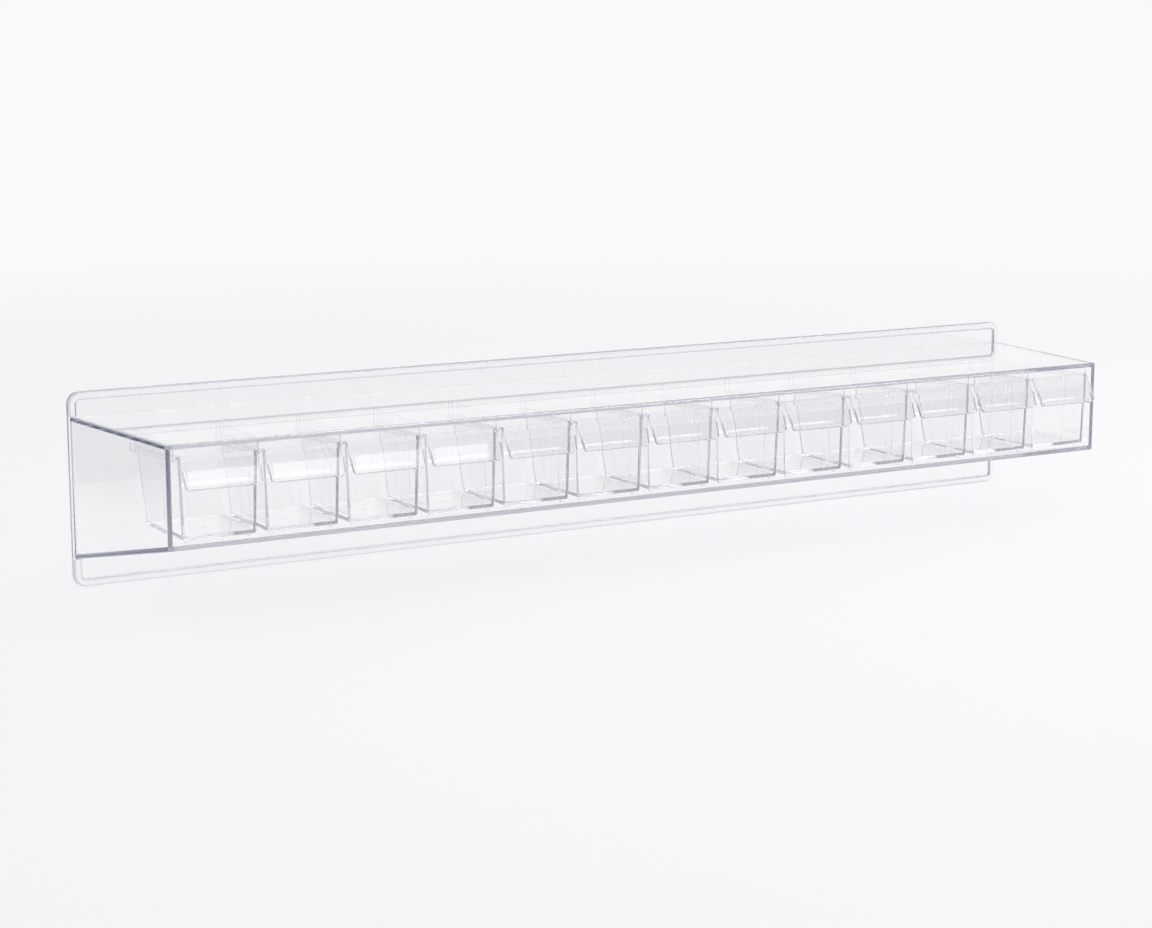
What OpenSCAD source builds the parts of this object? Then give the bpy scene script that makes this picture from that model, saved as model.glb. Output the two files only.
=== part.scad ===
// Wall-hung row of clear drawers. A moulded hood is bonded to a back plate, and hanger
// rails are bonded under the top wall of the hood. Each drawer hangs by the lips along
// its side walls and slides out on two rails, which fall slightly towards the wall, so
// that a drawer runs shut by its own weight.
// Millimetres. Origin at the centre of the wall face, +X along the row, +Y into the
// wall, +Z up. The fronts face -Y.

/* [Drawers] */
// Number of drawers in the row
drawer_count = 13; // [2:1:16]
// Outer width of a drawer at its rim
drawer_width = 42.4; // [30:0.2:70]
// Outer height of a drawer at its front
drawer_height = 43; // [34:0.5:70]
// Outer depth of a drawer at its rim
drawer_depth = 58; // [45:0.5:90]
// Thickness of the side walls
drawer_wall = 1.5; // [1:0.1:2.4]
// Thickness of the floor
drawer_floor = 1.8; // [1.2:0.1:3]
// Draft of each side wall from rim to floor
drawer_draft = 1.3; // [0.5:0.1:3]
// How far the back wall comes forward from rim to floor
back_lean = 9.5; // [4:0.5:18]
// Radius of the upright corners at the front
front_round = 1.2; // [0.6:0.1:2]
// Radius of the upright corners at the back
back_round = 2.5; // [1.6:0.1:6]
// Radius of the outer edge round the floor
base_round = 1.4; // [0.5:0.1:2]
// Radius of the inner edge round the floor
floor_round = 1; // [0.4:0.1:2]
// Width of the rib up the middle of each side wall
rib_width = 0.7; // [0.5:0.1:1.5]
// How far that rib stands off the wall
rib_rise = 0.3; // [0.2:0.05:0.6]
// Distance of that rib from the front
rib_set = 20; // [12:0.5:28]
// Radius of the stud at the head of that rib
stud_radius = 1.1; // [0.7:0.1:1.4]
// How far that stud stands off the wall
stud_rise = 1; // [0.6:0.1:1.2]
// Height of the feet under the floor
foot_height = 1.2; // [0.6:0.1:2]
// Radius of a foot
foot_radius = 1.2; // [0.7:0.1:2]
// Distance of a foot's centre from the floor's edges
foot_inset = 3; // [2.5:0.1:5]
// Radius of the moulding mark under the floor
gate_radius = 1.5; // [0.8:0.1:3]
// Height of the moulding mark
gate_height = 0.4; // [0.2:0.1:0.5]

/* [Pull flap] */
// How far the flap hangs below the rim
flap_drop = 15.8; // [10:0.2:20]
// How far the flap stands forward at its foot
flap_reach = 8.5; // [6:0.5:12]
// Thickness of the flap
flap_wall = 1.3; // [0.9:0.1:1.8]
// Draft of each side of the flap
flap_draft = 1; // [0.2:0.1:2]
// Radius of the lower corners of the flap
flap_round = 1.5; // [0.8:0.1:3]
// Height of the label pocket, along the flap from its foot
pocket_height = 9.6; // [6:0.2:12]
// Width of the pocket's closed edges
pocket_edge = 1.4; // [0.8:0.1:2]
// Room for the label
pocket_slot = 0.6; // [0.4:0.1:1]
// Thickness of the pocket's cover
pocket_wall = 0.7; // [0.5:0.1:1.2]
// How much wider the pocket is at its mouth than at its foot
pocket_flare = 0.6; // [0.2:0.1:1]

/* [Rails] */
// Fall of the rails towards the wall, in degrees
rail_fall = 3; // [1:0.5:5]
// Thickness of a rail's web
rail_web = 0.8; // [0.6:0.1:2]
// Thickness of a rail's flange
rail_flange = 1; // [0.8:0.1:2]
// Distance of the rails from the front of the hood
rail_set = 3; // [2:0.5:10]
// Length of the stop block at the back of a rail
stop_length = 2.2; // [1.5:0.1:4]
// How far a drawer's lip stands off its wall
lip_reach = 0.9; // [0.7:0.1:2]
// Thickness of a lip
lip_thickness = 1.2; // [0.8:0.1:2]
// Distance of a lip below the rim
lip_set = 0.3; // [0.2:0.1:1]
// Clearance beside the lips and the flanges
side_gap = 0.2; // [0.15:0.05:0.6]
// Clearance under the lips
seat_gap = 0.1; // [0.05:0.05:0.3]
// Clearance behind the lips when a drawer is shut
stop_gap = 0.3; // [0.2:0.05:0.6]

/* [Hood] */
// Thickness of the hood's walls
hood_wall = 2.6; // [1.8:0.1:4]
// Radius of the hood's outer long edges
hood_round = 1; // [0.4:0.1:3]
// Room between the rims and the top wall, at the front
head_gap = 3.8; // [2:0.1:6]
// Room between the feet and the bottom wall, at the front
floor_gap = 0.8; // [0.4:0.1:5]
// Room between the end rails and the end walls, at the front
end_gap = 1; // [0.3:0.1:4]
// Depth of the space behind the drawers
rear_space = 52; // [20:1:80]
// How far each end wall flares outwards towards the wall
end_flare = 12.5; // [4:0.5:20]
// How far the bottom wall falls towards the wall
bottom_fall = 23.5; // [8:0.5:35]

/* [Back plate] */
// Thickness of the plate
plate_web = 2.2; // [1.6:0.1:4]
// Height of the plate's flange above the hood
upper_flange = 13; // [10:0.5:25]
// Height of the plate's flange below the hood
lower_flange = 15.5; // [10:0.5:25]
// How far the plate reaches past the hood at each end
end_margin = 1; // [0.5:0.1:6]
// Radius of the plate's corners
plate_round = 6.5; // [6:0.5:9]
// Width of the raised border
border_width = 5; // [4.5:0.1:7]
// Height of the crest of the raised border
border_rise = 1.6; // [0.6:0.1:2.4]
// Radius of the border's outer edge
border_round = 2.4; // [1:0.1:3]
// Width of the slope from the crest down to the plate
border_slope = 1.8; // [1:0.1:2.5]

/* [Hidden] */
$fn = 32;
corner_steps = 4;
edge_steps = 2;
bead_steps = 6;
least_round = 0.4;
clear_plastic = [0.86, 0.88, 0.94, 0.45];

// Row across the front
lip_room = lip_reach + side_gap;
pitch = drawer_width + rail_web + 2 * lip_room;
flange_width = rail_web + 2 * lip_reach;
row_length = drawer_count * pitch;
hood_width = row_length + flange_width + 2 * (end_gap + hood_wall);

// Heights
hood_height = drawer_height + head_gap + foot_height + floor_gap + 2 * hood_wall;
back_height = hood_height + bottom_fall;
plate_height = back_height + upper_flange + lower_flange;
hood_top = plate_height / 2 - upper_flange;
hood_foot = hood_top - back_height;
ceiling = hood_top - hood_wall;
drawer_z = ceiling - head_gap - drawer_height;

// Depths
hood_depth = drawer_depth + rear_space;
front_y = -plate_web - hood_depth;
plate_width = hood_width + 2 * (end_flare + end_margin);
fall = tan(rail_fall);
lip_end = drawer_depth - back_round;
rail_end = lip_end + stop_gap + stop_length;

// Flap
flap_angle = atan(flap_reach / flap_drop);
flap_length = norm([flap_reach, flap_drop]);

function numbered(word, i) = str(word, i < 10 ? "_0" : "_", i);

// Middle of the gap left of drawer i, which is where rail i hangs
function gap_x(i) = (i - 1) * pitch - row_length / 2;

// Quarter circle of points
function corner(x, y, radius, start) = [
    for (k = [0:corner_steps])
        let (angle = start + 90 * k / corner_steps)
        [x + radius * cos(angle), y + radius * sin(angle)]
];

// Rounded rectangle, anticlockwise, with one radius at its near side and one at its far side
function rounded(half_x, y0, y1, near, far) = concat(
    corner(half_x - near, y0 + near, near, -90),
    corner(half_x - far, y1 - far, far, 0),
    corner(far - half_x, y1 - far, far, 90),
    corner(near - half_x, y0 + near, near, 180)
);

// A drawer's walls, from its front and its floor
function draft_at(z) = drawer_draft * (1 - z / drawer_height);
function wall_x(z) = drawer_width / 2 - draft_at(z);
function rim_z(y) = drawer_height - y * fall;
function back_y(z) = drawer_depth - back_lean * (1 - z / rim_z(drawer_depth));
function less(radius, inset) = max(radius - inset, least_round);

// Level outline of a drawer, inset from its outer faces
function level(z, inset) = [
    for (p = rounded(wall_x(z) - inset, inset, back_y(z) - inset,
                     less(front_round, inset), less(back_round, inset)))
        [p.x, p.y, z]
];

// Outline of the rim, which falls towards the back with the rails
function rim(inset) = [
    for (p = rounded(drawer_width / 2 - inset, inset, drawer_depth - inset,
                     less(front_round, inset), less(back_round, inset)))
        let (z = rim_z(p.y))
        [p.x - sign(p.x) * draft_at(z), p.y, z]
];

// Levels of a rounded lower edge, from the flat floor up to the upright wall
function rounded_base(z, inset, radius) = [
    for (k = [0:edge_steps])
        let (angle = 90 * k / edge_steps)
        level(z + radius * (1 - cos(angle)), inset + radius * (1 - sin(angle)))
];

function reversed(list) = [for (k = [len(list) - 1:-1:0]) list[k]];

// Outline of the hood at one depth, inset from its outer faces
function hood_ring(y, half_x, bottom, inset) = [
    for (p = rounded(half_x - inset, bottom + inset, hood_top - inset,
                     less(hood_round, inset), less(hood_round, inset)))
        [p.x, y, p.y]
];

// Outline of the plate at one distance from the wall, inset from its edge
function plate_ring(y, inset) = [
    for (p = rounded(plate_width / 2 - inset, inset - plate_height / 2, plate_height / 2 - inset,
                     less(plate_round, inset), less(plate_round, inset)))
        [p.x, -y, p.y]
];

// Skin over rings of equally many points. A loop joins the last ring to the first,
// and otherwise the first and the last ring are closed.
module skin(rings, loop = false) {
    count = len(rings);
    size = len(rings[0]);
    bands = [
        for (r = [0:count - (loop ? 1 : 2)], k = [0:size - 1])
            let (here = r * size, next = (r + 1) % count * size, other = (k + 1) % size)
            each [[here + k, next + k, next + other], [here + k, next + other, here + other]]
    ];
    first = [for (k = [0:size - 1]) k];
    last = [for (k = first) count * size - 1 - k];
    polyhedron([for (ring = rings) each ring], concat(bands, loop ? [] : [first, last]));
}

// Profile in Y and Z, extruded along X about the middle
module across(width, profile) {
    rotate([90, 0, 90])
        linear_extrude(width, center = true)
            polygon(profile);
}

// Flat outline that hangs from a straight top edge, with rounded lower corners
module hanging_outline(half_top, half_foot, top, foot) {
    right = concat(
        [[half_top, top]],
        reversed(corner(half_foot - flap_round, foot + flap_round, flap_round, -90))
    );
    polygon(concat(right, [for (p = reversed(right)) [-p.x, p.y]]));
}

// Room behind the pocket's cover, at a height above the flap's foot
function pocket_room(height) = pocket_slot + pocket_flare * height / pocket_height;

// Sloping flap, whose lower part is the label pocket with its cover in front of the slot
module flap() {
    top_half = drawer_width / 2;
    foot_half = top_half - flap_draft;
    mouth = pocket_room(pocket_height) + pocket_wall;
    over = pocket_height + pocket_edge;
    translate([0, 0, drawer_height])
        rotate([90 - flap_angle, 0, 0])
            difference() {
                intersection() {
                    translate([0, 0, -flap_wall])
                        linear_extrude(flap_wall + mouth)
                            hanging_outline(top_half, foot_half, 0, -flap_length);
                    translate([0, -flap_length, 0])
                        across(drawer_width, [
                            [0, -flap_wall],
                            [flap_length, -flap_wall],
                            [flap_length, 0],
                            [pocket_height, 0],
                            [pocket_height, mouth],
                            [0, pocket_room(0) + pocket_wall]
                        ]);
                }
                translate([0, -flap_length, 0])
                    across(2 * (foot_half - pocket_edge), [
                        [pocket_edge, 0],
                        [over, 0],
                        [over, pocket_room(over)],
                        [pocket_edge, pocket_room(pocket_edge)]
                    ]);
            }
}

// Lip on the right-hand wall, parallel to the rim
module lip() {
    root = drawer_wall / 2;
    top = -lip_set;
    foot = -lip_set - lip_thickness;
    translate([(drawer_width + lip_reach - root) / 2, 0, 0])
        across(lip_reach + root, [
            [front_round, rim_z(front_round) + foot],
            [lip_end, rim_z(lip_end) + foot],
            [lip_end, rim_z(lip_end) + top],
            [front_round, rim_z(front_round) + top]
        ]);
}

// Rib and stud on the right-hand wall, below the rails
module side_rib() {
    root = drawer_wall / 2;
    foot = base_round;
    head = rim_z(rib_set) - lip_set - lip_thickness - seat_gap - rail_flange - 2 * stud_radius;
    translate([0, rib_set + rib_width / 2, 0])
        rotate([90, 0, 0])
            linear_extrude(rib_width)
                polygon([
                    [wall_x(foot) - root, foot],
                    [wall_x(foot) + rib_rise, foot],
                    [wall_x(head) + rib_rise, head],
                    [wall_x(head) - root, head]
                ]);
    translate([wall_x(head) - root, rib_set, head])
        rotate([0, 90, 0])
            cylinder(r = stud_radius, h = root + stud_rise);
}

module drawer(i) {
    root = drawer_floor / 2;
    floor_y = back_y(0);
    color(clear_plastic)
        translate([gap_x(i) + pitch / 2, front_y, drawer_z])
            union() {
                skin(concat(
                    rounded_base(0, 0, base_round),
                    [rim(0), rim(drawer_wall)],
                    reversed(rounded_base(drawer_floor, drawer_wall, floor_round))
                ));
                flap();
                for (side = [0, 1])
                    mirror([side, 0, 0]) {
                        lip();
                        side_rib();
                        for (y = [foot_inset, floor_y - foot_inset])
                            translate([wall_x(0) - foot_inset, y, -foot_height])
                                cylinder(r = foot_radius, h = foot_height + root);
                    }
                translate([0, floor_y / 2, -gate_height])
                    cylinder(r = gate_radius, h = gate_height + root);
            }
}

// T-shaped rail with a stop block behind the lips, in the gap left of drawer i
module hanger_rail(i) {
    seat = -lip_set - lip_thickness - seat_gap;
    foot = seat - rail_flange;
    head = drawer_height + head_gap;
    stop_y = rail_end - stop_length;
    color(clear_plastic)
        translate([gap_x(i), front_y, drawer_z])
            union() {
                across(rail_web, [
                    [rail_set, rim_z(rail_set) + foot],
                    [rail_end, rim_z(rail_end) + foot],
                    [rail_end, head],
                    [rail_set, head]
                ]);
                across(flange_width, [
                    [rail_set, rim_z(rail_set) + foot],
                    [rail_end, rim_z(rail_end) + foot],
                    [rail_end, rim_z(rail_end) + seat],
                    [rail_set, rim_z(rail_set) + seat]
                ]);
                across(flange_width, [
                    [stop_y, rim_z(stop_y) + foot],
                    [rail_end, rim_z(rail_end) + foot],
                    [rail_end, head],
                    [stop_y, head]
                ]);
            }
}

// Four walls, open at the front, which flare towards the plate at the ends and below
module hood() {
    front_x = hood_width / 2;
    rear_x = front_x + end_flare;
    front_foot = hood_top - hood_height;
    color(clear_plastic)
        skin([
            hood_ring(-plate_web, rear_x, hood_foot, 0),
            hood_ring(front_y, front_x, front_foot, 0),
            hood_ring(front_y, front_x, front_foot, hood_wall),
            hood_ring(-plate_web, rear_x, hood_foot, hood_wall)
        ], loop = true);
}

// Flat plate with a raised border, which is round outside, flat on its crest and falls to
// the plate in a smooth slope. The border ends at the hood, above and below.
module back_plate() {
    crest = plate_web + border_rise;
    color(clear_plastic)
        difference() {
            skin(concat(
                [plate_ring(0, 0)],
                [for (k = [0:bead_steps])
                    let (angle = 90 * k / bead_steps)
                    plate_ring(crest - border_round * (1 - sin(angle)), border_round * (1 - cos(angle)))],
                [for (k = [0:bead_steps])
                    let (part = k / bead_steps)
                    plate_ring(crest - border_rise * (1 - cos(180 * part)) / 2,
                               border_width - border_slope * (1 - part))]
            ));
            translate([-plate_width / 2, -plate_web - 2 * border_rise, hood_foot])
                cube([plate_width, 2 * border_rise, back_height]);
        }
}

hood();
back_plate();
for (i = [1:drawer_count + 1])
    hanger_rail(i);
for (i = [1:drawer_count])
    drawer(i);
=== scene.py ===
import math

import bpy
from bpy.props import FloatProperty, FloatVectorProperty, IntProperty, PointerProperty
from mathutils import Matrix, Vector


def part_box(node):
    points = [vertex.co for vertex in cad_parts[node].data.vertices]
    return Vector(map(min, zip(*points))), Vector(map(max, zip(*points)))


bl_info = {
    "name": "Clear Drawer Row",
    "version": (1, 0, 0),
    "blender": (4, 5, 0),
    "location": "View3D > Sidebar > Drawer Row",
    "description": "Dresses a wall-hung row of clear drawers and sets its studio",
    "category": "Object",
}

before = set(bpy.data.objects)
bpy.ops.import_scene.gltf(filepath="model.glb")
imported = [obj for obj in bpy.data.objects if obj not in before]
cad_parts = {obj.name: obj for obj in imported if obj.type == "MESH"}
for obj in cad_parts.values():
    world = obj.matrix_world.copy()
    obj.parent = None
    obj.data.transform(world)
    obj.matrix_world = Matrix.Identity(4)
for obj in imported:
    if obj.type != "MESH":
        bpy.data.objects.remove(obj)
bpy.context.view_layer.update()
RAILS = sorted(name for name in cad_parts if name.startswith("hanger_rail_"))
DRAWERS = sorted(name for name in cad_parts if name.startswith("drawer_"))
PLATE_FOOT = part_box("back_plate")[0].z
HAZE_DETAIL = 3.0
FLOW_DETAIL = 1.0
FLAT_WEIGHT = 100
FRONT_FACING = -0.75


class Socket:
    """An output of a shader node, on which Python's operators add Math nodes."""

    def __init__(self, tree, output):
        self.tree = tree
        self.output = output

    def math(self, operation, first, second):
        return self.tree.add("ShaderNodeMath", {"operation": operation}, {0: first, 1: second})

    def __add__(self, other):
        return self.math("ADD", self, other)

    def __radd__(self, other):
        return self.math("ADD", other, self)

    def __sub__(self, other):
        return self.math("SUBTRACT", self, other)

    def __rsub__(self, other):
        return self.math("SUBTRACT", other, self)

    def __mul__(self, other):
        return self.math("MULTIPLY", self, other)

    def __rmul__(self, other):
        return self.math("MULTIPLY", other, self)

    def __gt__(self, other):
        return self.math("GREATER_THAN", self, other)

    def __lt__(self, other):
        return self.math("LESS_THAN", self, other)

    def __abs__(self):
        return self.tree.add("ShaderNodeMath", {"operation": "ABSOLUTE"}, {0: self})

    def at_least(self, other):
        return self.math("MAXIMUM", self, other)


class NodeTree:
    """A node tree, emptied and ready to be written."""

    def __init__(self, tree):
        self.nodes = tree.nodes
        self.links = tree.links
        self.nodes.clear()

    @classmethod
    def shading(cls, owner):
        """The shader tree of a material or a world."""
        owner.use_nodes = True
        return cls(owner.node_tree)

    def add(self, kind, settings=None, inputs=None, output=0):
        """Adds a node, sets it up, fills or links its sockets and returns one of its outputs."""
        node = self.nodes.new(kind)
        for name, value in (settings or {}).items():
            if name == "stops":
                self.set_stops(node.color_ramp, value)
            else:
                setattr(node, name, value)
        for name, value in (inputs or {}).items():
            if isinstance(value, Socket):
                self.links.new(value.output, node.inputs[name])
            else:
                node.inputs[name].default_value = value
        return Socket(self, node.outputs[output]) if node.outputs else node

    @staticmethod
    def set_stops(ramp, stops):
        while len(ramp.elements) < len(stops):
            ramp.elements.new(1.0)
        for element, (position, colour) in zip(ramp.elements, stops):
            element.position = position
            element.color = colour


def solid(colour):
    """A colour with full alpha, as colour sockets take it."""
    return (*colour, 1.0)


class PlasticSettings(bpy.types.PropertyGroup):
    """Finish of the clear plastic"""

    surface: FloatVectorProperty(
        name="Surface tint", description="Tint that each surface gives to the light it passes",
        subtype="COLOR", size=3, min=0.0, max=1.0, default=(0.999, 0.999, 1.0))
    # Painted shade: the slope tint and its start and full points darken the border's slopes in place of the shade
    # their refraction gives.
    slope: FloatVectorProperty(
        name="Slope tint",
        description="Tint of the slopes of the plate's border, which lead light away along the plate",
        subtype="COLOR", size=3, min=0.0, max=1.0, default=(0.55, 0.56, 0.62))
    slope_start: FloatProperty(
        name="Slope start", description="Where a slope takes on its tint: 1 flat, 0 upright",
        default=0.95, min=0.0, max=1.0)
    slope_full: FloatProperty(
        name="Slope full", description="Where a slope has its full tint, on the same scale",
        default=0.75, min=0.0, max=1.0)
    # Painted shade: the plate tint darkens the whole plate evenly, in place of the floor's shade seen through it.
    plate: FloatVectorProperty(
        name="Plate tint", description="Surface tint of the plate",
        subtype="COLOR", size=3, min=0.0, max=1.0, default=(0.984, 0.984, 0.988))
    # Painted shade: the upright tint darkens the hood's front edges at the end walls in place of the shade of light
    # led along those walls.
    upright: FloatVectorProperty(
        name="Upright tint", description="Tint of the hood's upright front edges, which look along its end walls",
        subtype="COLOR", size=3, min=0.0, max=1.0, default=(0.54, 0.555, 0.62))
    upright_start: FloatProperty(
        name="Upright start", description="Distance from the row's middle at which the end walls' edges begin",
        default=0.2965, precision=4, subtype="DISTANCE", unit="LENGTH")
    depth: FloatVectorProperty(
        name="Depth tint", description="Colour that long ways through the plastic take on",
        subtype="COLOR", size=3, min=0.0, max=1.0, default=(0.50, 0.51, 0.59))
    housing_density: FloatProperty(
        name="Housing density", description="How fast the hood, the plate and the rails take up light, per metre",
        default=8.0, min=0.0)
    drawer_density: FloatProperty(
        name="Drawer density", description="How fast the drawers take up light, per metre", default=9.0, min=0.0)
    # Painted light: past the leak depth the plastic glows evenly in a fixed colour instead of tracing the light
    # further.
    leak_depth: IntProperty(
        name="Leak depth", description="Turns after which light caught in the plastic leaks out", default=36, min=1)
    painted_leak_glow: FloatVectorProperty(
        name="Leak", description="Colour of the surroundings where caught light leaks out",
        subtype="COLOR", size=3, min=0.0, max=1.0, default=(0.85, 0.87, 0.95))
    ior: FloatProperty(
        name="IOR", description="Index of refraction of clear styrene", default=1.52, min=1.0, max=2.0)
    polish: FloatProperty(
        name="Polish", description="Roughness of the best polished areas", default=0.01, min=0.0, max=1.0)
    haze: FloatProperty(
        name="Haze", description="Roughness that handling adds in soft patches", default=0.03, min=0.0, max=1.0)
    haze_size: FloatProperty(
        name="Haze size", description="Size of the handled patches", default=0.03, subtype="DISTANCE", unit="LENGTH")
    flow_size: FloatProperty(
        name="Flow size", description="Length of the waves that the mould's flow leaves",
        default=0.05, subtype="DISTANCE", unit="LENGTH")
    flow_height: FloatProperty(
        name="Flow height", description="Height of the flow waves",
        default=0.00002, precision=6, subtype="DISTANCE", unit="LENGTH")
    shade: FloatVectorProperty(
        name="Shade", description="Share of lamp light that passes a surface",
        subtype="COLOR", size=3, min=0.0, max=1.0, default=(0.95, 0.95, 0.96))


class EdgeSettings(bpy.types.PropertyGroup):
    """Moulded edges"""

    weld: FloatProperty(
        name="Weld", description="Distance under which points of a solid are one",
        default=0.00001, precision=6, subtype="DISTANCE", unit="LENGTH")
    hood: FloatProperty(
        name="Hood edge", description="Largest radius of the edges of the hood",
        default=0.0003, precision=5, subtype="DISTANCE", unit="LENGTH")
    plate: FloatProperty(
        name="Plate edge", description="Largest radius of the edges of the plate",
        default=0.0002, precision=5, subtype="DISTANCE", unit="LENGTH")
    rail: FloatProperty(
        name="Rail edge", description="Largest radius of the edges of the rails",
        default=0.00012, precision=5, subtype="DISTANCE", unit="LENGTH")
    drawer: FloatProperty(
        name="Drawer edge", description="Largest radius of the edges of the drawers",
        default=0.00012, precision=5, subtype="DISTANCE", unit="LENGTH")
    film: FloatProperty(
        name="Bond film", description="Air left at bonded faces, so that light leaves one piece and enters the next",
        default=0.00002, precision=6, subtype="DISTANCE", unit="LENGTH")
    steps: IntProperty(name="Steps", description="Faces across a rounded edge", default=3, min=1, max=8)
    sharp: FloatProperty(
        name="Sharp", description="Least angle at which two faces meet in an edge",
        default=math.radians(32), subtype="ANGLE", unit="ROTATION")


class StageSettings(bpy.types.PropertyGroup):
    """Floor, surroundings and lamps"""

    backdrop: FloatVectorProperty(
        name="Backdrop", description="Colour of what stands behind the object",
        subtype="COLOR", size=3, min=0.0, max=1.0, default=(0.947, 0.947, 0.953))
    ground: FloatVectorProperty(
        name="Ground", description="Colour of the floor near the object",
        subtype="COLOR", size=3, min=0.0, max=1.0, default=(0.913, 0.913, 0.927))
    near: FloatProperty(
        name="Near", description="Distance at which the floor starts to fade into the backdrop",
        default=0.6, subtype="DISTANCE", unit="LENGTH")
    far: FloatProperty(
        name="Far", description="Distance at which the floor has become the backdrop",
        default=1.9, subtype="DISTANCE", unit="LENGTH")
    room: FloatVectorProperty(
        name="Room", description="Colour of the room on the viewer's side, as the plastic mirrors it",
        subtype="COLOR", size=3, min=0.0, max=1.0, default=(0.41, 0.415, 0.44))
    room_turn: FloatProperty(
        name="Room turn", description="Turn of the room to the right of the wall's normal",
        default=math.radians(30), subtype="ANGLE", unit="ROTATION")
    room_start: FloatProperty(
        name="Room start", description="Where the room begins: 1 straight behind the object, -1 behind the viewer",
        default=0.8, min=-1.0, max=1.0)
    room_edge: FloatProperty(
        name="Room edge", description="Where the room has its full colour, on the same scale",
        default=0.5, min=-1.0, max=1.0)
    ceiling_start: FloatProperty(
        name="Ceiling start", description="Where the backdrop ends above: 0 at the horizon, 1 overhead",
        default=0.45, min=0.0, max=1.0)
    ceiling_edge: FloatProperty(
        name="Ceiling edge", description="Where the room's colour is reached above, on the same scale",
        default=0.75, min=0.0, max=1.0)
    # Painted shade: the card is no object but a darker patch of the floor's colour on the left, seen only in
    # reflections and through the plastic.
    painted_card_shade_axis: FloatVectorProperty(
        name="Card axis", description="Way from the object to the dark card on its left, out of view",
        size=3, default=(-0.961, 0.276, 0.0), subtype="DIRECTION")
    painted_card_shade: FloatVectorProperty(
        name="Card", description="Colour of that card",
        subtype="COLOR", size=3, min=0.0, max=1.0, default=(0.50, 0.505, 0.53))
    painted_card_shade_start: FloatProperty(
        name="Card start", description="Distance at which the card begins to cover the floor",
        default=0.42, subtype="DISTANCE", unit="LENGTH")
    painted_card_shade_end: FloatProperty(
        name="Card end", description="Distance at which the card covers the floor",
        default=0.60, subtype="DISTANCE", unit="LENGTH")
    sky: FloatProperty(name="Sky", description="Strength of the light from all round", default=0.74, min=0.0)
    shadow: FloatProperty(
        name="Shadow", description="How much of a shadow the floor shows", default=0.22, min=0.0, max=1.0)
    floor: FloatProperty(
        name="Floor size", description="Length of the floor's sides", default=30.0, subtype="DISTANCE", unit="LENGTH")
    strip_glow: FloatProperty(
        name="Strip glow", description="Radiance of the long lamp overhead", default=5.0, min=0.0)
    strip_size: FloatVectorProperty(
        name="Strip size", description="Length and width of the long lamp",
        size=2, default=(1.8, 0.5), subtype="XYZ_LENGTH", unit="LENGTH")
    strip_place: FloatVectorProperty(
        name="Strip place", description="Where the long lamp hangs",
        size=3, default=(0.8, -0.35, 1.3), subtype="TRANSLATION", unit="LENGTH")
    box_glow: FloatProperty(
        name="Softbox glow", description="Radiance of the softbox in front", default=2.0, min=0.0)
    box_size: FloatVectorProperty(
        name="Softbox size", description="Width and height of the softbox",
        size=2, default=(0.5, 0.32), subtype="XYZ_LENGTH", unit="LENGTH")
    box_place: FloatVectorProperty(
        name="Softbox place", description="Where the softbox stands",
        size=3, default=(0.42, -1.33, 0.99), subtype="TRANSLATION", unit="LENGTH")
    bounces: IntProperty(
        name="Bounces", description="Turns that light may take inside the plastic", default=128, min=1)
    shadow_bounces: IntProperty(
        name="Shadow bounces", description="Surfaces that lamp light may pass", default=64, min=1)


class ViewSettings(bpy.types.PropertyGroup):
    """The photograph's point of view"""

    lens: FloatProperty(
        name="Lens", description="Focal length on a sensor 36 mm wide", default=76.2, subtype="DISTANCE_CAMERA")
    sensor: FloatProperty(name="Sensor", description="Width of the sensor, in millimetres", default=36.0)
    eye: FloatVectorProperty(
        name="Eye", description="Where the camera stands",
        size=3, default=(-0.7110, -1.2431, 0.2458), subtype="TRANSLATION", unit="LENGTH")
    heading: FloatProperty(
        name="Heading", description="Turn of the view to the right of the wall's normal",
        default=math.radians(29.68), subtype="ANGLE", unit="ROTATION")
    dip: FloatProperty(
        name="Dip", description="How far the view looks down",
        default=math.radians(10.28), subtype="ANGLE", unit="ROTATION")


class DrawerRowSettings(bpy.types.PropertyGroup):
    """All settings of the drawer row"""

    plastic: PointerProperty(type=PlasticSettings)
    edges: PointerProperty(type=EdgeSettings)
    stage: PointerProperty(type=StageSettings)
    view: PointerProperty(type=ViewSettings)


def face_tint(tree, settings):
    """The same tint all over."""
    return solid(settings.surface)


def painted_slope_shade(tree, settings):
    """Painted shade: a darker tint where the surface turns away from the plate's flat face, standing in for the shade
    that the border's slopes get by refraction; flat faces keep the plate tint.
    """
    normal = tree.add("ShaderNodeTexCoord", output="Normal")
    facing = tree.add("ShaderNodeSeparateXYZ", {}, {"Vector": normal}, output="Y")
    slope = tree.add("ShaderNodeMapRange", {"interpolation_type": "SMOOTHSTEP"}, {
        "Value": abs(facing), "From Min": settings.slope_full, "From Max": settings.slope_start,
        "To Min": 1.0, "To Max": 0.0})
    # Painted shade mixed into the base colour on the slopes.
    return tree.add("ShaderNodeMix", {"data_type": "RGBA"}, {
        0: slope, 6: solid(settings.plate), 7: solid(settings.slope)}, output=2)


def painted_upright_shade(tree, settings):
    """Painted shade: a darker tint on the front edges of the end walls, standing in for the dark bands of light led
    along those walls.
    """
    normal = tree.add("ShaderNodeTexCoord", output="Normal")
    facing = tree.add("ShaderNodeSeparateXYZ", {}, {"Vector": normal}, output="Y")
    place = tree.add("ShaderNodeTexCoord", output="Object")
    side = tree.add("ShaderNodeSeparateXYZ", {}, {"Vector": place}, output="X")
    end = abs(side) > settings.upright_start
    front = facing < FRONT_FACING
    # Painted shade mixed into the base colour on the end walls' front edges.
    return tree.add("ShaderNodeMix", {"data_type": "RGBA"}, {
        0: end * front, 6: solid(settings.surface), 7: solid(settings.upright)}, output=2)


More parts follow.
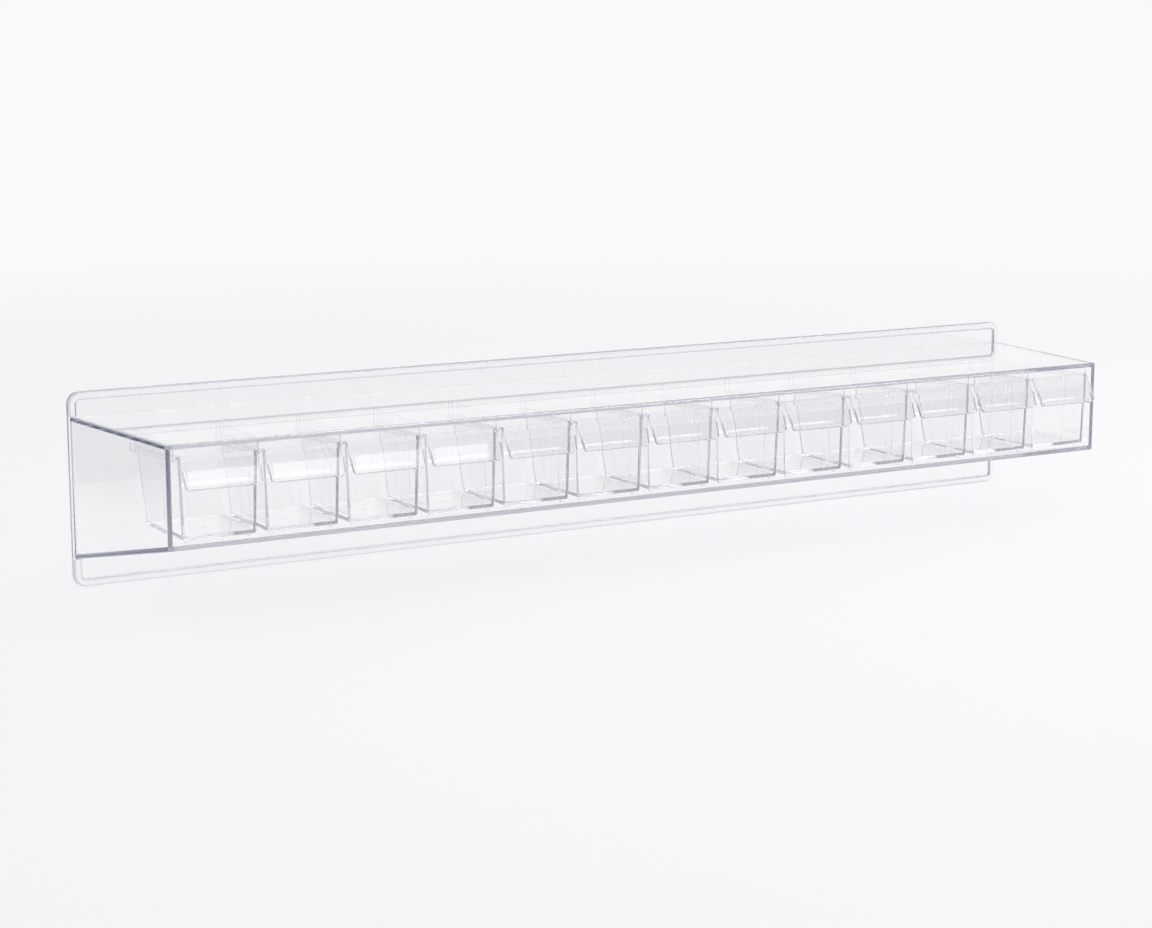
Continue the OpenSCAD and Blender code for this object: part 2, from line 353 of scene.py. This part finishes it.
def clear_plastic(name, settings, density, seed, tint=face_tint):
    """Clear moulded plastic: polished, with soft patches of haze and the waves of the mould's flow, and a painted
    glow in a fixed colour on paths that pass the leak depth.
    """
    material = bpy.data.materials.new(name)
    tree = NodeTree.shading(material)
    place = tree.add("ShaderNodeTexCoord", output="Object")
    shifted = tree.add("ShaderNodeVectorMath", {"operation": "ADD"}, {0: place, 1: (seed, seed, seed)})
    patches = tree.add("ShaderNodeTexNoise", {}, {
        "Vector": shifted, "Scale": 1 / settings.haze_size, "Detail": HAZE_DETAIL})
    waves = tree.add("ShaderNodeTexNoise", {}, {
        "Vector": shifted, "Scale": 1 / settings.flow_size, "Detail": FLOW_DETAIL})
    bump = tree.add("ShaderNodeBump", {}, {"Height": waves, "Strength": 1.0, "Distance": settings.flow_height})
    surface = tree.add("ShaderNodeBsdfPrincipled", {}, {
        "Base Color": tint(tree, settings),
        "Roughness": settings.polish + settings.haze * patches * patches,
        "IOR": settings.ior,
        "Transmission Weight": 1.0,
        "Normal": bump,
    })
    passing = tree.add("ShaderNodeBsdfTransparent", {}, {"Color": solid(settings.shade)})
    for_lamps = tree.add("ShaderNodeLightPath", output="Is Shadow Ray")
    # Painted light: an even glow that replaces the surface on rays past the leak depth.
    painted_glow = tree.add("ShaderNodeEmission", {}, {"Color": solid(settings.painted_leak_glow), "Strength": 1.0})
    turns = tree.add("ShaderNodeLightPath", output="Ray Depth")
    caught = tree.add("ShaderNodeMixShader", {}, {0: turns > settings.leak_depth, 1: surface, 2: painted_glow})
    shown = tree.add("ShaderNodeMixShader", {}, {0: for_lamps, 1: caught, 2: passing})
    depth = tree.add("ShaderNodeVolumeAbsorption", {}, {"Color": solid(settings.depth), "Density": density})
    tree.add("ShaderNodeOutputMaterial", {}, {"Surface": shown, "Volume": depth})
    material.cycles.emission_sampling = "NONE"
    return material


def smooth_faces(angle):
    """Nodes that shade faces smooth across every edge that bends less than an angle."""
    group = bpy.data.node_groups.new("smooth_faces", "GeometryNodeTree")
    for way in ("INPUT", "OUTPUT"):
        group.interface.new_socket("Mesh", in_out=way, socket_type="NodeSocketGeometry")
    tree = NodeTree(group)
    mesh = tree.add("NodeGroupInput")
    bend = tree.add("GeometryNodeInputMeshEdgeAngle")
    sharp = tree.add("FunctionNodeCompare", {"operation": "GREATER_THAN"}, {0: bend, 1: angle})
    shaded = tree.add("GeometryNodeSetMeshNormal", {"mode": "SHARPNESS"}, {
        "Mesh": mesh, "Remove Custom": True, "Edge Sharpness": sharp, "Face Sharpness": False})
    tree.add("NodeGroupOutput", {}, {"Mesh": shaded})
    return group


def dress(nodes, material, radius, edges):
    """Gives solids their material, smooth faces and rounded edges, which stay smaller where faces are narrow."""
    smoothing = smooth_faces(edges.sharp)
    for name in nodes:
        solid_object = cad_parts[name]
        solid_object.data.materials.clear()
        solid_object.data.materials.append(material)
        weld = solid_object.modifiers.new("Weld", "WELD")
        weld.merge_threshold = edges.weld
        film = solid_object.modifiers.new("Bond film", "DISPLACE")
        film.mid_level = 0.0
        film.strength = -edges.film
        faces = solid_object.modifiers.new("Faces", "NODES")
        faces.node_group = smoothing
        rounding = solid_object.modifiers.new("Edges", "BEVEL")
        rounding.width = radius
        rounding.segments = edges.steps
        rounding.limit_method = "ANGLE"
        rounding.angle_limit = edges.sharp
        shading = solid_object.modifiers.new("Shading", "WEIGHTED_NORMAL")
        shading.keep_sharp = True
        shading.weight = FLAT_WEIGHT


class DRAWERROW_OT_housing(bpy.types.Operator):
    """Finish the hood and the back plate in clear plastic with rounded edges"""

    bl_idname = "drawer_row.housing"
    bl_label = "Housing"

    def execute(self, context):
        settings = context.scene.drawer_row
        density = settings.plastic.housing_density
        hood = clear_plastic("hood_plastic", settings.plastic, density, seed=0.0, tint=painted_upright_shade)
        plate = clear_plastic("plate_plastic", settings.plastic, density, seed=0.7, tint=painted_slope_shade)
        dress(["hood"], hood, settings.edges.hood, settings.edges)
        dress(["back_plate"], plate, settings.edges.plate, settings.edges)
        return {"FINISHED"}


class DRAWERROW_OT_rails(bpy.types.Operator):
    """Finish the hanger rails"""

    bl_idname = "drawer_row.rails"
    bl_label = "Rails"

    def execute(self, context):
        settings = context.scene.drawer_row
        density = settings.plastic.housing_density
        plastic = clear_plastic("rail_plastic", settings.plastic, density, seed=1.7)
        dress(RAILS, plastic, settings.edges.rail, settings.edges)
        return {"FINISHED"}


class DRAWERROW_OT_drawers(bpy.types.Operator):
    """Finish the drawers"""

    bl_idname = "drawer_row.drawers"
    bl_label = "Drawers"

    def execute(self, context):
        settings = context.scene.drawer_row
        density = settings.plastic.drawer_density
        plastic = clear_plastic("drawer_plastic", settings.plastic, density, seed=3.1)
        dress(DRAWERS, plastic, settings.edges.drawer, settings.edges)
        return {"FINISHED"}


def seen_ray(tree):
    """1 on the rays that show a thing to the camera, straight, mirrored or through the plastic."""
    kinds = ("Is Camera Ray", "Is Glossy Ray", "Is Transmission Ray")
    straight, mirrored, through = (tree.add("ShaderNodeLightPath", output=kind) for kind in kinds)
    return straight.at_least(mirrored).at_least(through)


def floor_material(settings):
    """Pale floor with a faint shadow, which fades into the backdrop, and a painted darker patch on its left that only
    mirrored and refracted rays see.
    """
    material = bpy.data.materials.new("pale_floor")
    tree = NodeTree.shading(material)
    place = tree.add("ShaderNodeTexCoord", output="Object")
    distance = tree.add("ShaderNodeVectorMath", {"operation": "LENGTH"}, {0: place}, output="Value")
    away = tree.add("ShaderNodeMapRange", {"interpolation_type": "SMOOTHSTEP"}, {
        "Value": distance, "From Min": settings.near, "From Max": settings.far, "To Min": 0.0, "To Max": 1.0})
    pale = tree.add("ShaderNodeMix", {"data_type": "RGBA"}, {
        0: away, 6: solid(settings.ground), 7: solid(settings.backdrop)}, output=2)
    # Painted shade: darker floor colour on the left, hidden from the camera and seen in the plastic.
    aside = tree.add("ShaderNodeVectorMath", {"operation": "DOT_PRODUCT"}, {
        0: place, 1: settings.painted_card_shade_axis}, output="Value")
    painted_card_shade = tree.add("ShaderNodeMapRange", {"interpolation_type": "SMOOTHSTEP"}, {
        "Value": aside, "From Min": settings.painted_card_shade_start, "From Max": settings.painted_card_shade_end,
        "To Min": 0.0, "To Max": 1.0})
    straight = tree.add("ShaderNodeLightPath", output="Is Camera Ray")
    colour = tree.add("ShaderNodeMix", {"data_type": "RGBA"}, {
        0: painted_card_shade * (1.0 - straight), 6: pale, 7: solid(settings.painted_card_shade)}, output=2)
    lit = tree.add("ShaderNodeBsdfDiffuse", {}, {"Color": colour})
    even = tree.add("ShaderNodeEmission", {}, {"Color": colour, "Strength": 1.0})
    share = seen_ray(tree) * (1.0 - settings.shadow * (1.0 - away))
    shown = tree.add("ShaderNodeMixShader", {}, {0: share, 1: lit, 2: even})
    tree.add("ShaderNodeOutputMaterial", {}, {"Surface": shown})
    return material


def studio_world(settings):
    """Even pale light behind the object and a darker room on the viewer's side."""
    world = bpy.data.worlds.new("studio")
    tree = NodeTree.shading(world)
    toward = tree.add("ShaderNodeTexCoord", output="Generated")
    axis = (math.sin(settings.room_turn), math.cos(settings.room_turn), 0.0)
    depth = tree.add("ShaderNodeVectorMath", {"operation": "DOT_PRODUCT"}, {0: toward, 1: axis}, output="Value")
    behind = tree.add("ShaderNodeMapRange", {"interpolation_type": "SMOOTHSTEP"}, {
        "Value": depth, "From Min": settings.room_edge, "From Max": settings.room_start,
        "To Min": 0.0, "To Max": 1.0})
    height = tree.add("ShaderNodeSeparateXYZ", {}, {"Vector": toward}, output="Z")
    below = tree.add("ShaderNodeMapRange", {"interpolation_type": "SMOOTHSTEP"}, {
        "Value": height, "From Min": settings.ceiling_start, "From Max": settings.ceiling_edge,
        "To Min": 1.0, "To Max": 0.0})
    straight = tree.add("ShaderNodeLightPath", output="Is Camera Ray")
    colour = tree.add("ShaderNodeMix", {"data_type": "RGBA"}, {
        0: (behind * below).at_least(straight), 6: solid(settings.room), 7: solid(settings.backdrop)}, output=2)
    shown = tree.add("ShaderNodeBackground", {}, {"Color": colour, "Strength": 1.0})
    light = tree.add("ShaderNodeBackground", {}, {"Color": solid(settings.backdrop), "Strength": settings.sky})
    mixed = tree.add("ShaderNodeMixShader", {}, {0: seen_ray(tree), 1: light, 2: shown})
    tree.add("ShaderNodeOutputWorld", {}, {"Surface": mixed})
    return world


class DRAWERROW_OT_stage(bpy.types.Operator):
    """Set the floor, the surroundings, the lamps and the camera"""

    bl_idname = "drawer_row.stage"
    bl_label = "Stage"

    def execute(self, context):
        scene = context.scene
        settings = scene.drawer_row.stage
        half = settings.floor / 2
        mesh = bpy.data.meshes.new("floor")
        corners = [(-half, -half), (half, -half), (half, half), (-half, half)]
        mesh.from_pydata([(x, y, PLATE_FOOT) for x, y in corners], [], [range(len(corners))])
        mesh.materials.append(floor_material(settings))
        floor = bpy.data.objects.new("floor", mesh)
        scene.collection.objects.link(floor)
        scene.world = studio_world(settings)
        self.hang_lamp(scene, "strip_lamp", settings.strip_glow, settings.strip_size, settings.strip_place)
        self.hang_lamp(scene, "softbox", settings.box_glow, settings.box_size, settings.box_place)
        self.set_camera(scene, scene.drawer_row.view)
        scene.view_settings.view_transform = "Standard"
        scene.cycles.max_bounces = settings.bounces
        scene.cycles.transmission_bounces = settings.bounces
        scene.cycles.glossy_bounces = settings.bounces
        scene.cycles.transparent_max_bounces = settings.shadow_bounces
        return {"FINISHED"}

    def hang_lamp(self, scene, name, glow, size, place):
        """Hangs a rectangular lamp that faces the row, with one side parallel to it."""
        data = bpy.data.lights.new(name, "AREA")
        data.shape = "RECTANGLE"
        data.size, data.size_y = size
        data.energy = glow * math.pi * data.size * data.size_y
        lamp = bpy.data.objects.new(name, data)
        lamp.location = place
        lamp.rotation_euler = (math.atan2(-lamp.location.y, lamp.location.z), 0.0, 0.0)
        scene.collection.objects.link(lamp)

    def set_camera(self, scene, settings):
        """Sets the camera where the photograph was taken from."""
        data = bpy.data.cameras.new("camera")
        data.lens = settings.lens
        data.sensor_fit = "HORIZONTAL"
        data.sensor_width = settings.sensor
        camera = bpy.data.objects.new("camera", data)
        camera.location = settings.eye
        camera.rotation_euler = (math.pi / 2 - settings.dip, 0.0, -settings.heading)
        scene.collection.objects.link(camera)
        scene.camera = camera


class DRAWERROW_PT_panel(bpy.types.Panel):
    """Steps and settings of the drawer row"""

    bl_label = "Drawer Row"
    bl_idname = "DRAWERROW_PT_panel"
    bl_space_type = "VIEW_3D"
    bl_region_type = "UI"
    bl_category = "Drawer Row"

    def draw(self, context):
        settings = context.scene.drawer_row
        for step in STEPS:
            self.layout.operator(step.bl_idname)
        for group in (settings.plastic, settings.edges, settings.stage, settings.view):
            box = self.layout.box()
            for name in group.__annotations__:
                box.prop(group, name)


GROUPS = (PlasticSettings, EdgeSettings, StageSettings, ViewSettings, DrawerRowSettings)
STEPS = (DRAWERROW_OT_housing, DRAWERROW_OT_rails, DRAWERROW_OT_drawers, DRAWERROW_OT_stage)
CLASSES = (*GROUPS, *STEPS, DRAWERROW_PT_panel)


def register():
    for cls in CLASSES:
        bpy.utils.register_class(cls)
    bpy.types.Scene.drawer_row = PointerProperty(type=DrawerRowSettings)


def unregister():
    del bpy.types.Scene.drawer_row
    for cls in reversed(CLASSES):
        bpy.utils.unregister_class(cls)


def main():
    register()
    bpy.ops.drawer_row.housing()
    bpy.ops.drawer_row.rails()
    bpy.ops.drawer_row.drawers()
    bpy.ops.drawer_row.stage()


if __name__ == "__main__":
    main()
